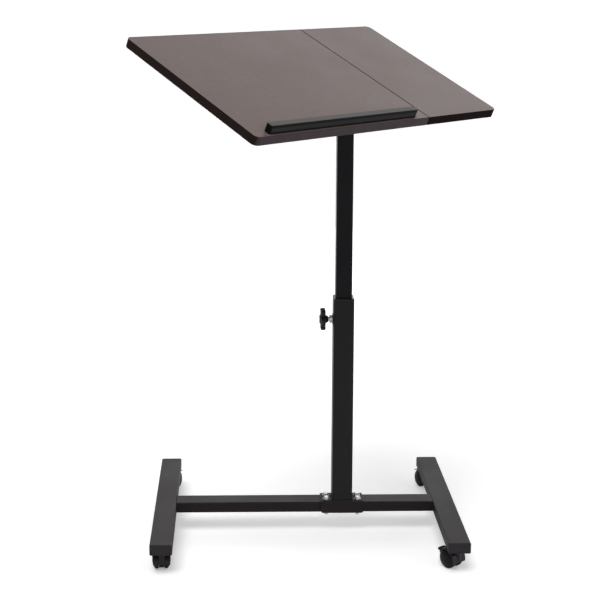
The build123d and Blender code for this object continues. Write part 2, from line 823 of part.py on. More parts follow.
# Feet, with wider holes in their outer sides for a socket that turns the bolts, and their end caps
caster_ys = {"front": foot_front + caster_from_end, "rear": foot_back - caster_from_end}
for name, foot_x, inward in (("left", left_foot_x, 1), ("right", right_foot_x, -1)):
    bolt_plane = Plane(origin=(foot_x, mast_y, bar_mid), x_dir=(0, 1, 0), z_dir=(inward, 0, 0))
    with BuildPart() as foot:
        with BuildSketch(
            Plane(origin=(foot_x, foot_front + cap_flange, foot_mid), x_dir=(1, 0, 0), z_dir=(0, 1, 0))
        ):
            box_section(foot_width, foot_height, foot_wall, foot_corner)
        extrude(amount=foot_length - 2 * cap_flange)
        with BuildSketch(bolt_plane):
            with Locations(*foot_bolt_spots):
                Circle(foot_bolt_radius + bolt_hole_gap)
        extrude(amount=foot_width / 2, mode=Mode.SUBTRACT)
        with BuildSketch(bolt_plane):
            with Locations(*foot_bolt_spots):
                Circle(foot_bolt_flange_radius + access_hole_gap)
        extrude(amount=-foot_width / 2, mode=Mode.SUBTRACT)
        with BuildSketch(Plane.XY.offset(floor_to_foot)):
            with Locations(*[(foot_x, y) for y in caster_ys.values()]):
                Circle(stem_thread_radius + bolt_hole_gap)
        extrude(amount=foot_wall, mode=Mode.SUBTRACT)
    finish(foot.part, f"{name}_foot")

plug_width = foot_width - 2 * foot_wall - 2 * slide_gap
plug_height = foot_height - 2 * foot_wall - 2 * slide_gap
with BuildPart() as foot_end_caps:
    for foot_x in (left_foot_x, right_foot_x):
        for end_y, outward in ((foot_front, -1), (foot_back, 1)):
            cap_y = end_y - outward * cap_flange
            cap_face = Plane(origin=(foot_x, cap_y, foot_mid), x_dir=(1, 0, 0), z_dir=(0, outward, 0))
            with BuildSketch(cap_face):
                RectangleRounded(foot_width, foot_height, foot_corner)
            extrude(amount=cap_flange)
            rim = foot_end_caps.faces().group_by(Axis(cap_face.origin, cap_face.z_dir))[-1].edges()
            fillet(rim.filter_by(lambda e: abs(e.center().X - foot_x) < foot_width), cap_edge_round)
            with BuildSketch(cap_face):
                RectangleRounded(plug_width, plug_height, foot_corner - foot_wall)
                Rectangle(plug_width - 2 * cap_plug_wall, plug_height - 2 * cap_plug_wall, mode=Mode.SUBTRACT)
            extrude(amount=-cap_plug)
finish(foot_end_caps.part, "foot_end_caps")

# Caster stems, threaded up into square nuts inside the feet
caster_spots = [(x, y) for x in (left_foot_x, right_foot_x) for y in caster_ys.values()]
with BuildPart() as caster_nuts:
    with BuildSketch(Plane.XY.offset(floor_to_foot + foot_wall)):
        with Locations(*caster_spots):
            Rectangle(caster_nut_width, caster_nut_width)
            Circle(stem_thread_radius + running_gap, mode=Mode.SUBTRACT)
    extrude(amount=caster_nut_height)
finish(caster_nuts.part, "caster_nuts")

stem_collar_bottom = floor_to_foot - stem_collar_height
with BuildPart() as caster_stems:
    with BuildSketch(Plane.XY.offset(stem_collar_bottom)):
        with Locations(*caster_spots):
            hexagon(stem_collar_flats)
    extrude(amount=stem_collar_height)
    with BuildSketch(Plane.XY.offset(floor_to_foot)):
        with Locations(*caster_spots):
            Circle(stem_thread_radius)
    extrude(amount=stem_thread_length)
    with BuildSketch(Plane.XY.offset(stem_collar_bottom)):
        with Locations(*caster_spots):
            Circle(stem_pin_radius)
    extrude(amount=-stem_pin_length)
finish(caster_stems.part, "caster_stems")


# Casters: each has a housing that swivels on its stem, an axle and two wheels with domed faces


def sector(radius, start_angle, end_angle):
    """Draws a pie slice about the sketch's origin on the open sketch."""
    with BuildLine(Plane.XY) as slice_edge:
        rim = CenterArc((0, 0), radius, start_angle, end_angle - start_angle)
        Line((0, 0), rim @ 0)
        Line(rim @ 1, (0, 0))
    make_face(slice_edge.edges())


def caster_wheel(axle_centre, trail_dir, side):
    """One wheel: a hub and a rim joined by a domed outer face, turned about the axle."""
    axle_dir = up.cross(trail_dir) * side
    inner = web_half + wheel_gap
    tread_end = inner + wheel_tread_width
    half_reach = wheel_outer_reach - (wheel_outer_reach - tread_end) / 4
    hub_wall = wheel_outer_reach - wheel_dome_wall
    rim_wall = tread_end - wheel_dome_wall
    rim_inner = wheel_radius - wheel_rim_wall
    bore = axle_radius + running_gap
    bore_end = axle_half_length + axle_end_gap
    edge = wheel_edge_chamfer
    outer_edge = wheel_outer_chamfer
    with BuildPart() as wheel:
        with BuildSketch(Plane(origin=axle_centre, x_dir=up, z_dir=up.cross(axle_dir))):
            with BuildLine():
                Polyline(
                    (wheel_radius - outer_edge, tread_end),
                    (wheel_radius, tread_end - outer_edge),
                    (wheel_radius, inner + edge),
                    (wheel_radius - edge, inner),
                    (rim_inner, inner),
                    (rim_inner, rim_wall),
                    (wheel_hub_radius, hub_wall),
                    (wheel_hub_radius, inner),
                    (bore, inner),
                    (bore, bore_end),
                    (0, bore_end),
                    (0, wheel_outer_reach),
                )
                ThreePointArc(
                    (0, wheel_outer_reach),
                    (wheel_radius / 2, half_reach),
                    (wheel_radius - outer_edge, tread_end),
                )
            make_face()
        revolve(axis=Axis(axle_centre, axle_dir))
    return wheel.part


def brake_frame(side_frame, angle):
    """The plane about the brake lever's pivot whose first direction is turned up by the angle."""
    place = radians(brake_pivot_angle)
    pivot = (brake_pivot_radius * cos(place), brake_pivot_radius * sin(place))
    turn = radians(angle)
    return Plane(
        origin=side_frame.from_local_coords(pivot),
        x_dir=side_frame.x_dir * cos(turn) + side_frame.y_dir * sin(turn),
        z_dir=side_frame.z_dir,
    )


def caster_housing(frame, side_frame, braked):
    """The housing: a web between the wheels, a hood over them and a boss for the stem."""
    boss_top = stem_collar_bottom - seat_gap
    slot_frame = brake_frame(side_frame, brake_rest_angle - brake_press_angle / 2)
    with BuildPart() as housing:
        with BuildSketch(frame.offset(boss_top)):
            Circle(stem_boss_radius)
        extrude(amount=wheel_radius - boss_top)
        with BuildSketch(side_frame):
            sector(wheel_radius + hood_gap + hood_wall, hood_start_angle, hood_end_angle)
        extrude(amount=hood_half, both=True)
        for side in (-1, 1):
            with BuildSketch(side_frame.offset(side * web_half)):
                Circle(wheel_radius + hood_gap)
            extrude(amount=side * wheel_outer_reach, mode=Mode.SUBTRACT)
        with BuildSketch(side_frame):
            sector(web_radius, web_start_angle, hood_end_angle)
            Circle(web_hub_radius)
        extrude(amount=web_half, both=True)
        with BuildSketch(frame.offset(boss_top)):
            Circle(stem_pin_radius + running_gap)
        extrude(amount=-stem_pin_length, mode=Mode.SUBTRACT)
        with BuildSketch(side_frame):
            Circle(axle_radius + running_gap)
        extrude(amount=web_half, both=True, mode=Mode.SUBTRACT)
        if braked:
            with BuildSketch(slot_frame):
                Circle(brake_slot_radius)
                with Locations((brake_slot_length / 2, 0)):
                    Rectangle(brake_slot_length, 2 * brake_slot_radius)
            extrude(amount=brake_slot_half, both=True, mode=Mode.SUBTRACT)
            with BuildSketch(slot_frame):
                Circle(brake_trunnion_radius + running_gap)
            extrude(amount=web_half, both=True, mode=Mode.SUBTRACT)
    return housing.part


def brake_lever(side_frame):
    """The lever: a blade on trunnions in the web's slot, with a shoe over the wheels and a toe tab."""
    lever_plane = brake_frame(side_frame, brake_rest_angle)
    half_tab = brake_tab_thickness / 2
    with BuildPart() as lever:
        with BuildSketch(lever_plane):
            Circle(brake_hub_radius)
            Polygon(
                (0, half_tab),
                (0, -half_tab),
                (brake_shoe_start + brake_shoe_thickness, -half_tab),
                (brake_shoe_start + brake_shoe_thickness, half_tab),
                align=None,
            )
        extrude(amount=brake_blade_half, both=True)
        with BuildSketch(lever_plane):
            Polygon(
                (brake_shoe_start, half_tab),
                (brake_shoe_start, -brake_shoe_drop),
                (brake_shoe_start + brake_shoe_thickness, -brake_shoe_drop),
                (brake_shoe_start + brake_shoe_thickness, -half_tab),
                (brake_tab_reach, -half_tab),
                (brake_tab_reach, half_tab),
                align=None,
            )
        extrude(amount=brake_shoe_half, both=True)
        toe = lever.edges().filter_by(Axis(lever_plane.origin, lever_plane.y_dir))
        fillet(toe.group_by(Axis(lever_plane.origin, lever_plane.x_dir))[-1], brake_tab_round)
        with BuildSketch(lever_plane):
            Circle(brake_trunnion_radius)
        extrude(amount=web_half - brake_trunnion_inset, both=True)
    return lever.part


for foot_name, foot_x in (("left", left_foot_x), ("right", right_foot_x)):
    for end_name, caster_y in caster_ys.items():
        name = f"{end_name}_{foot_name}"
        angle = radians(caster_angles[name])
        trail_dir = Vector(-sin(angle), cos(angle), 0)
        frame = Plane(origin=(foot_x, caster_y, 0), x_dir=trail_dir, z_dir=up)
        axle_centre = frame.from_local_coords((caster_trail, 0, wheel_radius))
        side_frame = Plane(origin=axle_centre, x_dir=trail_dir, z_dir=trail_dir.cross(up))
        braked = end_name == "front"
        finish(caster_housing(frame, side_frame, braked), f"{name}_caster_housing")
        with BuildPart() as axle:
            with BuildSketch(side_frame):
                Circle(axle_radius)
            extrude(amount=axle_half_length, both=True)
        finish(axle.part, f"{name}_axle")
        for wheel_name, side in (("a", 1), ("b", -1)):
            finish(caster_wheel(axle_centre, trail_dir, side), f"{name}_wheel_{wheel_name}")
        if braked:
            finish(brake_lever(side_frame), f"{name}_brake_lever")
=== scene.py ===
import json
import math

import bmesh
import bpy
from mathutils import Matrix, Vector
from mathutils.bvhtree import BVHTree


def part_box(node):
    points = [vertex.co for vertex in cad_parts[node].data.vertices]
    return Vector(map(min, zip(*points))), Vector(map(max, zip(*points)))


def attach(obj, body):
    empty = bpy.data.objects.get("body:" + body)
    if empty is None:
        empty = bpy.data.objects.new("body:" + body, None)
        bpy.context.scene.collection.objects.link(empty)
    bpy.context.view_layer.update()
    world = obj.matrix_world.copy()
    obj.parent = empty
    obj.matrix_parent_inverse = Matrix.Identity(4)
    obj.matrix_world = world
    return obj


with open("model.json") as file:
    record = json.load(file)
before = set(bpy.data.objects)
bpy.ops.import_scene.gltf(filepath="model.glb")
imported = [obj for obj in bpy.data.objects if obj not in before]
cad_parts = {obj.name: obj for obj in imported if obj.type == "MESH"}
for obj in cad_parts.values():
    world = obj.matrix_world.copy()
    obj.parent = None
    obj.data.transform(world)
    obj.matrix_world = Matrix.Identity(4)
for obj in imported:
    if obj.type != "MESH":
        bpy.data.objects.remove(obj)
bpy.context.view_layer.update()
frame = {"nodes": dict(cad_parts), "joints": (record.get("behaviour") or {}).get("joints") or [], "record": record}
nodes = frame["nodes"]
joints = {joint["name"]: joint for joint in frame["joints"]}

UP = Vector((0, 0, 1))
WHITE = (1, 1, 1, 1)

# How the top stands in the photograph, and its own directions: u to the right, v to the rear, w up
SWIVEL = math.radians(43.3)
TILT = math.radians(24.5)
TOP_U = Vector((math.cos(SWIVEL), math.sin(SWIVEL), 0))
TOP_V = Vector((-math.sin(SWIVEL) * math.cos(TILT), math.cos(SWIVEL) * math.cos(TILT), math.sin(TILT)))
TOP_W = TOP_U.cross(TOP_V)


# ---- materials ----

def srgb(r, g, b):
    """A display colour, 0 to 255, as the linear colour that a shader takes."""
    def linear(c):
        c = c / 255
        return c / 12.92 if c <= 0.04045 else ((c + 0.055) / 1.055) ** 2.4
    return (linear(r), linear(g), linear(b), 1)


class Shader:
    """A material under construction: its nodes, and short calls to add and link them."""

    def __init__(self, name):
        self.material = bpy.data.materials.new(name)
        self.material.use_nodes = True
        self.tree = self.material.node_tree
        self.bsdf = next(n for n in self.tree.nodes if n.type == "BSDF_PRINCIPLED")
        self.place = self.add("ShaderNodeTexCoord").outputs["Object"]

    def add(self, kind, **values):
        node = self.tree.nodes.new(kind)
        for key, value in values.items():
            setattr(node, key, value)
        return node

    def link(self, a, b):
        self.tree.links.new(a, b)

    def stretched(self, scale, turn=(0, 0, 0)):
        mapping = self.add("ShaderNodeMapping")
        mapping.inputs["Scale"].default_value = scale
        mapping.inputs["Rotation"].default_value = turn
        self.link(self.place, mapping.inputs["Vector"])
        return mapping.outputs["Vector"]

    def along(self, direction):
        """How far a point lies along a direction, in metres."""
        dot = self.add("ShaderNodeVectorMath", operation="DOT_PRODUCT")
        self.link(self.place, dot.inputs[0])
        dot.inputs[1].default_value = direction
        return dot.outputs["Value"]

    def noise(self, scale, detail, rough=0.55, vector=None):
        node = self.add("ShaderNodeTexNoise")
        node.inputs["Scale"].default_value = scale
        node.inputs["Detail"].default_value = detail
        node.inputs["Roughness"].default_value = rough
        self.link(vector or self.place, node.inputs["Vector"])
        return node.outputs["Fac"]

    def ranged(self, value, low, high, start=0.3, stop=0.7):
        node = self.add("ShaderNodeMapRange")
        node.inputs["From Min"].default_value = start
        node.inputs["From Max"].default_value = stop
        node.inputs["To Min"].default_value = low
        node.inputs["To Max"].default_value = high
        self.link(value, node.inputs["Value"])
        return node.outputs["Result"]

    def mixed(self, factor, a, b):
        node = self.add("ShaderNodeMix", data_type="RGBA")
        self.link(factor, node.inputs["Factor"])
        for socket, value in ((node.inputs["A"], a), (node.inputs["B"], b)):
            if isinstance(value, tuple):
                socket.default_value = value
            else:
                self.link(value, socket)
        return node.outputs["Result"]

    def bump(self, height, strength, distance, below=None):
        node = self.add("ShaderNodeBump")
        node.inputs["Strength"].default_value = strength
        node.inputs["Distance"].default_value = distance
        self.link(height, node.inputs["Height"])
        if below:
            self.link(below, node.inputs["Normal"])
        return node.outputs["Normal"]

    def moulded_grain(self):
        """A moulded plastic's spark-eroded grain, as a normal, and where handling has rubbed it."""
        grain = self.noise(scale=1400, detail=4)
        rubbed = self.noise(scale=45, detail=3)
        return self.bump(grain, strength=0.2, distance=0.0003), rubbed

    def done(self, color, rough, normal, **fixed):
        for name, value in (("Base Color", color), ("Roughness", rough), ("Normal", normal)):
            self.link(value, self.bsdf.inputs[name])
        for name, value in fixed.items():
            self.bsdf.inputs[name.replace("_", " ")].default_value = value
        return self.material


def laminate(name, dark, light, grain_turn):
    """Wood-effect laminate: long fine streaks over a soft mottle, under a semi-gloss film."""
    s = Shader(name)
    streaks = s.noise(scale=1, detail=6, rough=0.6, vector=s.stretched((14, 420, 420), grain_turn))
    pores = s.noise(scale=1, detail=3, rough=0.5, vector=s.stretched((90, 1900, 1900), grain_turn))
    mottle = s.noise(scale=9, detail=3)
    film = s.noise(scale=160, detail=2)
    color = s.mixed(s.ranged(streaks, 0, 1), dark, light)
    color = s.mixed(s.ranged(mottle, 0, 0.35), color, light)
    color = s.mixed(s.ranged(pores, 0, 0.25, start=0.52, stop=0.75), color, dark)
    sunk_pores = s.bump(pores, strength=0.1, distance=0.0004)
    normal = s.bump(film, strength=0.08, distance=0.0006, below=sunk_pores)
    return s.done(color, s.ranged(mottle, 0.36, 0.44), normal, Specular_IOR_Level=0.3)


def powder_coat(name, color, lift, rough, shine):
    """Satin powder coat: a fine orange peel, with faint cloudy changes in tone and gloss."""
    s = Shader(name)
    peel = s.noise(scale=900, detail=3)
    cloud = s.noise(scale=12, detail=3)
    specks = s.noise(scale=2600, detail=2)
    base = s.mixed(s.ranged(cloud, 0, 1), color, lift)
    base = s.mixed(s.ranged(specks, 0, 0.5, start=0.6, stop=0.75), base, lift)
    normal = s.bump(peel, strength=0.22, distance=0.0004)
    return s.done(base, s.ranged(cloud, rough - 0.04, rough + 0.05), normal, Specular_IOR_Level=shine)


def moulded(name, color, lift, rough, shine):
    """Moulded plastic: a fine grain, slightly polished by handling."""
    s = Shader(name)
    normal, rubbed = s.moulded_grain()
    base = s.mixed(s.ranged(rubbed, 0, 1), color, lift)
    return s.done(base, s.ranged(rubbed, rough - 0.06, rough + 0.06), normal, Specular_IOR_Level=shine)


def band_with_painted_shade(name, side, shaded_side_lift, front, front_lift, across, edge):
    """Edge banding with painted shade: darker on the left side than along the front and back, as if the left side
    lay in shade.
    """
    blend = 0.004
    s = Shader(name)
    normal, rubbed = s.moulded_grain()
    tone = s.ranged(rubbed, 0, 1)
    # Painted shade: the band's left side, up to this point across the top, takes the darker tones
    past_shaded_side = s.ranged(s.along(across), 0, 1, start=edge, stop=edge + blend)
    base = s.mixed(past_shaded_side, s.mixed(tone, side, shaded_side_lift), s.mixed(tone, front, front_lift))
    return s.done(base, s.ranged(rubbed, 0.42, 0.54), normal, Specular_IOR_Level=0.08)


def stop_strip_with_painted_light(name, strip, u_dir, w_dir):
    """The stop's satin plastic with painted light: a painted sheen over its top, painted shade at its upper edge,
    foot and left end.
    """
    more_than_its_height = 0.016
    s = Shader(name)
    normal, rubbed = s.moulded_grain()
    tone = s.ranged(rubbed, 0, 1)
    heights = [vertex.co.dot(w_dir) for vertex in strip.data.vertices]
    top = max(heights)
    foot = min(height for height in heights if height > top - more_than_its_height)
    left = min(vertex.co.dot(u_dir) for vertex in strip.data.vertices)
    up, along = s.along(w_dir), s.along(u_dir)
    # Painted shade: the dark tone laid where the stop's upper edge, foot and left end fall in shade
    dark = s.mixed(tone, srgb(15, 16, 15), srgb(20, 20, 20))
    # Painted sheen: the light grey tone that stands in for the top face's reflection
    painted_sheen = s.mixed(tone, srgb(90, 89, 88), srgb(97, 95, 94))
    base = s.mixed(tone, srgb(43, 42, 44), srgb(50, 48, 50))
    # Painted shade along the foot, below the top edge and at the left end
    base = s.mixed(s.ranged(up, 0, 1, start=foot + 0.0035, stop=foot + 0.0015), base, dark)
    base = s.mixed(s.ranged(up, 0, 1, start=top - 0.0065, stop=top - 0.004), base, dark)
    base = s.mixed(s.ranged(along, 0, 1, start=left + 0.004, stop=left + 0.002), base, dark)
    # Painted sheen over the top face
    base = s.mixed(s.ranged(up, 0, 1, start=top - 0.0007, stop=top - 0.0001), base, painted_sheen)
    return s.done(base, s.ranged(rubbed, 0.36, 0.48), normal, Specular_IOR_Level=0.05)


def plated(name, color, dull, rough):
    """Zinc-plated steel: a bright skin with cloudy passivation and fine turning marks."""
    s = Shader(name)
    cloud = s.noise(scale=160, detail=4)
    marks = s.noise(scale=1, detail=2, rough=0.5, vector=s.stretched((400, 400, 5200)))
    base = s.mixed(s.ranged(cloud, 0, 1), color, dull)
    normal = s.bump(marks, strength=0.12, distance=0.0002)
    return s.done(base, s.ranged(cloud, rough - 0.06, rough + 0.1), normal, Metallic=1.0)


# Each slot's kind of material, its two tones, and its roughness with its shine
slot_looks = {
    "board_laminate": (laminate, srgb(98, 84, 81), srgb(114, 99, 96), (0, 0, SWIVEL)),
    # The large band's darker left side is painted shade
    "large_band_plastic": (
        band_with_painted_shade, srgb(28, 16, 14), srgb(36, 23, 21), srgb(58, 51, 54), srgb(68, 60, 63), TOP_U, -0.304
    ),
    "small_band_plastic": (moulded, srgb(19, 6, 8), srgb(25, 12, 13), 0.5, 0.02),
    # The stop's top carries a painted sheen; its upper edge, foot and left end carry painted shade
    "ledge_plastic": (stop_strip_with_painted_light, nodes["stop_ledge"], TOP_U, TOP_W),
    "inner_tube_paint": (powder_coat, srgb(23, 23, 26), srgb(29, 29, 32), 0.42, 0.1),
    "outer_tube_paint": (powder_coat, srgb(20, 18, 20), srgb(26, 24, 26), 0.42, 0.22),
    "frame_paint": (powder_coat, srgb(33, 28, 31), srgb(39, 34, 37), 0.47, 0.11),
    "bracket_paint": (powder_coat, srgb(20, 20, 22), srgb(27, 27, 29), 0.44, 0.25),
    "collar_plastic": (moulded, srgb(18, 18, 19), srgb(25, 25, 26), 0.36, 0.3),
    "cap_plastic": (moulded, srgb(46, 43, 47), srgb(52, 49, 53), 0.5, 0.08),
    "knob_plastic": (moulded, srgb(20, 20, 21), srgb(27, 27, 28), 0.34, 0.3),
    "bolt_zinc": (plated, srgb(238, 238, 236), srgb(214, 214, 212), 0.5),
    "nut_zinc": (plated, srgb(214, 216, 190), srgb(180, 181, 156), 0.36),
    "stem_zinc": (plated, srgb(182, 182, 182), srgb(140, 140, 140), 0.34),
    "washer_nylon": (moulded, srgb(204, 202, 192), srgb(216, 214, 206), 0.45, 0.4),
    "caster_plastic": (moulded, srgb(15, 15, 16), srgb(22, 22, 23), 0.36, 0.3),
    "brake_plastic": (moulded, srgb(22, 22, 23), srgb(30, 30, 31), 0.38, 0.3),
    "wheel_plastic": (moulded, srgb(14, 13, 16), srgb(20, 19, 22), 0.36, 0.16),
}
looks = {name: kind(name, *values) for name, (kind, *values) in slot_looks.items()}
slot_of = {s["node"]: s["material_slot"] for s in frame["record"]["subparts"]}
for node_name, obj in nodes.items():
    look = looks[slot_of[node_name]]
    if not obj.material_slots:
        obj.data.materials.append(look)
    for place in obj.material_slots:
        place.material = look


# ---- added pieces ----

# How far an added form starts inside the face that it stands on, so that no gap shows
SUNK = 0.00005

# A bead's sides, how far from upright its path must run to be squared to UP, and its end's width
BEAD_SIDES = 8
NEARLY_UPRIGHT = 0.2
BEAD_END = 0.35

# Points round a rounded square's corner, and how far a weld lies from the face that it runs along
CORNER_STEPS = 4
WELD_INSET = 0.0002

# Raised pads on the end caps: points to a corner, and the rim's height share and slope
PAD_CORNER_POINTS = 6
PAD_RIM_SHARE = 0.55
PAD_SLOPE = 0.0004

# Raised rings on the wheels' outer faces: radius and wire of each, and the steps round and across
WHEEL_RINGS = ((0.0132, 0.00045), (0.0052, 0.0004))
RING_STEPS = 72
RING_PROFILE = 6
RING_FLATNESS = 0.7
BEYOND_WHEEL = 0.05

# Seams on the caster hoods: the hood's radius, where the seam runs on it in degrees, and its wire
HOOD_RADIUS = 0.0199
SEAM_START, SEAM_SPAN, SEAM_POINTS = 54, 60, 60
SEAM_WIRE = 0.0004

# Ribs on the brake tabs: their distances from the pivot, their length and wire
RIB_REACHES = (0.0085, 0.0103, 0.0121)
RIB_LENGTH, RIB_POINTS = 0.0124, 9
RIB_WIRE = 0.0004
ABOVE_TAB = 0.03

# Welds between the bracket's plate and the rails, in the top's directions from the tilt axis
RAIL_WELD_U, RAIL_WELD_V, RAIL_WELD_W = 0.0504, 0.042, 0.0244
RAIL_WELD_LENGTH, RAIL_WELD_POINTS = 0.017, 28


def piece(name, bm, body, look, smooth=True):
    """Turns a finished bmesh into a piece that rides on a body."""
    bmesh.ops.recalc_face_normals(bm, faces=bm.faces)
    mesh = bpy.data.meshes.new(name)
    bm.to_mesh(mesh)
    bm.free()
    if smooth:
        mesh.polygons.foreach_set("use_smooth", [True] * len(mesh.polygons))
    obj = bpy.data.objects.new(name, mesh)
    bpy.context.collection.objects.link(obj)
    mesh.materials.append(looks[look])
    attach(obj, body)


def bead_into(bm, path, radius, ripple=0.0, step=1.0, closed=True):
    """A bead along a path: a plain wire, or a weld that swells at each dab."""
    lengths = [0.0]
    for a, b in zip(path, path[1:] + path[:1]):
        lengths.append(lengths[-1] + (b - a).length)
    rings = []
    count = len(path)
    for i, p in enumerate(path):
        before = path[i - 1] if i or closed else p
        after = path[(i + 1) % count] if i + 1 < count or closed else p
        along = (after - before).normalized()
        across = along.cross(UP)
        if across.length < NEARLY_UPRIGHT:
            across = along.cross(Vector((0, 1, 0)))
        across.normalize()
        other = along.cross(across)
        swell = radius * (1 + ripple * abs(math.sin(math.pi * lengths[i] / step)))
        if not closed and i in (0, count - 1):
            swell *= BEAD_END
        ring = []
        for k in range(BEAD_SIDES):
            t = 2 * math.pi * k / BEAD_SIDES
            ring.append(bm.verts.new(p + across * (swell * math.cos(t)) + other * (swell * math.sin(t))))
        rings.append(ring)
    for i in range(count if closed else count - 1):
        a, b = rings[i], rings[(i + 1) % count]
        for k in range(BEAD_SIDES):
            bm.faces.new((a[k], a[(k + 1) % BEAD_SIDES], b[(k + 1) % BEAD_SIDES], b[k]))
    if not closed:
        bm.faces.new(rings[0])
        bm.faces.new(rings[-1])


def bead_piece(name, paths, body, look, **bead):
    """One piece made of a bead along each path."""
    bm = bmesh.new()
    for path in paths:
        bead_into(bm, path, **bead)
    piece(name, bm, body, look)


def rounded_square(middle, width, corner, height, spacing=0.0006):
    """Points round a square with rounded corners, level at a height."""
    points = []
    straight = width / 2 - corner
    for quarter in range(4):
        turn = Matrix.Rotation(quarter * math.pi / 2, 3, "Z")
        n = max(2, int(2 * straight / spacing))
        for i in range(n):
            points.append(turn @ Vector((width / 2, -straight + 2 * straight * i / n, 0)))
        for i in range(CORNER_STEPS):
            a = math.pi / 2 * i / CORNER_STEPS
            x, y = straight + corner * math.cos(a), straight + corner * math.sin(a)
            points.append(turn @ Vector((x, y, 0)))
    return [Vector((middle[0], middle[1], height)) + p for p in points]


def pad_on(bm, middle, across, up_dir, out, width, height, thick, corner):
    """A low rounded pad with a sloped rim, standing on a flat face."""
    around = 4 * PAD_CORNER_POINTS
    rings = []
    for grow, lift in ((0, -SUNK), (0, thick * PAD_RIM_SHARE), (-PAD_SLOPE, thick)):
        ring = []
        for quarter in range(4):
            for i in range(PAD_CORNER_POINTS):
                a = math.pi / 2 * (quarter + i / (PAD_CORNER_POINTS - 1))
                sx = 1 if quarter in (0, 3) else -1
                sz = 1 if quarter in (0, 1) else -1
                x = sx * (width / 2 - corner) + (corner + grow) * math.cos(a)
                z = sz * (height / 2 - corner) + (corner + grow) * math.sin(a)
                ring.append(bm.verts.new(middle + across * x + up_dir * z + out * lift))
        rings.append(ring)
    for low, high in zip(rings, rings[1:]):
        for i in range(around):
            bm.faces.new((low[i], low[(i + 1) % around], high[(i + 1) % around], high[i]))
    bm.faces.new(rings[-1])
    bm.faces.new(rings[0])


def box_middle(node):
    low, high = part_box(node)
    return (Vector(low) + Vector(high)) / 2


def level(v):
    return Vector((v.x, v.y, 0)).normalized()


def surface_of(node):
    """A node's surface, to cast rays at."""
    return BVHTree.FromObject(nodes[node], bpy.context.evaluated_depsgraph_get())


def wheel_ring(wheel, centre, axis, radius, wire):
    """A raised ring moulded on a wheel's outer face, laid on the face itself."""
    tree = surface_of(wheel)
    side = Vector(axis)
    if (box_middle(wheel) - centre).dot(side) < 0:
        side = -side
    across = side.cross(UP).normalized()
    path = []
    for i in range(RING_STEPS):
        a = 2 * math.pi * i / RING_STEPS
        foot = centre + across * (radius * math.cos(a)) + UP * (radius * math.sin(a))
        path.append(tree.ray_cast(foot + side * BEYOND_WHEEL, -side)[0])
    bm = bmesh.new()
    for p in path:
        out = (p - centre - side * (p - centre).dot(side)).normalized()
        for k in range(RING_PROFILE):
            t = math.pi * (k / (RING_PROFILE - 1))
            lift = wire * RING_FLATNESS * math.sin(t) - SUNK
            bm.verts.new(p + out * (wire * math.cos(t)) + side * lift)
    bm.verts.ensure_lookup_table()
    for i in range(RING_STEPS):
        a, b = i * RING_PROFILE, (i + 1) % RING_STEPS * RING_PROFILE
        for k in range(RING_PROFILE):
            after = (k + 1) % RING_PROFILE
            bm.faces.new([bm.verts[j] for j in (a + k, a + after, b + after, b + k)])
    return bm


def mast_welds():
    """The welds at the mast's foot, under its head plate and round the clamp's boss."""
    middle = box_middle("outer_tube")
    foot = rounded_square(middle, 0.0384, 0.0032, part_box("outer_tube")[0][2] + WELD_INSET)
    bead_piece("weld_mast_foot", [foot], "base", "outer_tube_paint", radius=0.0014, ripple=0.3, step=0.0024)
    head = rounded_square(middle, 0.0304, 0.0027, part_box("inner_tube")[1][2] - WELD_INSET)
    bead_piece("weld_head_plate", [head], "mast", "inner_tube_paint", radius=0.0013, ripple=0.3, step=0.0022)
    boss_radius, points = 0.0101, 96
    boss = box_middle("clamp_boss")
    boss_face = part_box("clamp_boss")[1][0] - WELD_INSET
    circle = []
    for i in range(points):
        a = 2 * math.pi * i / points
        y, z = boss.y + boss_radius * math.cos(a), boss.z + boss_radius * math.sin(a)
        circle.append(Vector((boss_face, y, z)))
    bead = {"radius": 0.0009, "ripple": 0.3, "step": 0.0019}
    bead_piece("weld_clamp_boss", [circle], "base", "outer_tube_paint", **bead)


def cap_pads():
    """A raised pad on the face of each end cap."""
    above_foot = 0.0079
    caps_low, caps_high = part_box("foot_end_caps")
    for foot in ("left_foot", "right_foot"):
        foot_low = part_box(foot)[0]
        for end, out in (("front", -1), ("rear", 1)):
            face_y = caps_low[1] if out < 0 else caps_high[1]
            middle = Vector((box_middle(foot).x, face_y, foot_low[2] + above_foot))
            bm = bmesh.new()
            pad_on(
                bm, middle, Vector((1, 0, 0)), UP, Vector((0, out, 0)),
                width=0.033, height=0.0105, thick=0.0005, corner=0.002,
            )
            piece(f"{foot}_{end}_cap_pad", bm, "base", "cap_plastic", smooth=False)


def wheel_rings():
    """Two raised rings on the outer face of each wheel."""
    for joint in frame["joints"]:
        wheel = joint["child"]
        if "_wheel_" in wheel:
            for radius, wire in WHEEL_RINGS:
                bm = wheel_ring(wheel, Vector(joint["pos_m"]), joint["axis"], radius, wire)
                piece(f"{wheel}_ring_{round(radius * 10000)}", bm, wheel, "wheel_plastic")


def hood_seams():
    """A seam over the middle of each caster's hood, up to the boss of its stem."""
    for caster in ("front_left", "front_right", "rear_left", "rear_right"):
        turn = joints[f"{caster}_swivel"]
        axle = Vector(joints[f"{caster}_wheel_a_spin"]["pos_m"])
        trail = level(axle - Vector(turn["pos_m"]))
        seam = []
        for i in range(SEAM_POINTS):
            a = math.radians(SEAM_START + SEAM_SPAN * i / (SEAM_POINTS - 1))
            seam.append(axle + trail * (HOOD_RADIUS * math.cos(a)) + UP * (HOOD_RADIUS * math.sin(a)))
        name = f"{caster}_hood_seam"
        bead_piece(name, [seam], turn["child"], "caster_plastic", radius=SEAM_WIRE, closed=False)


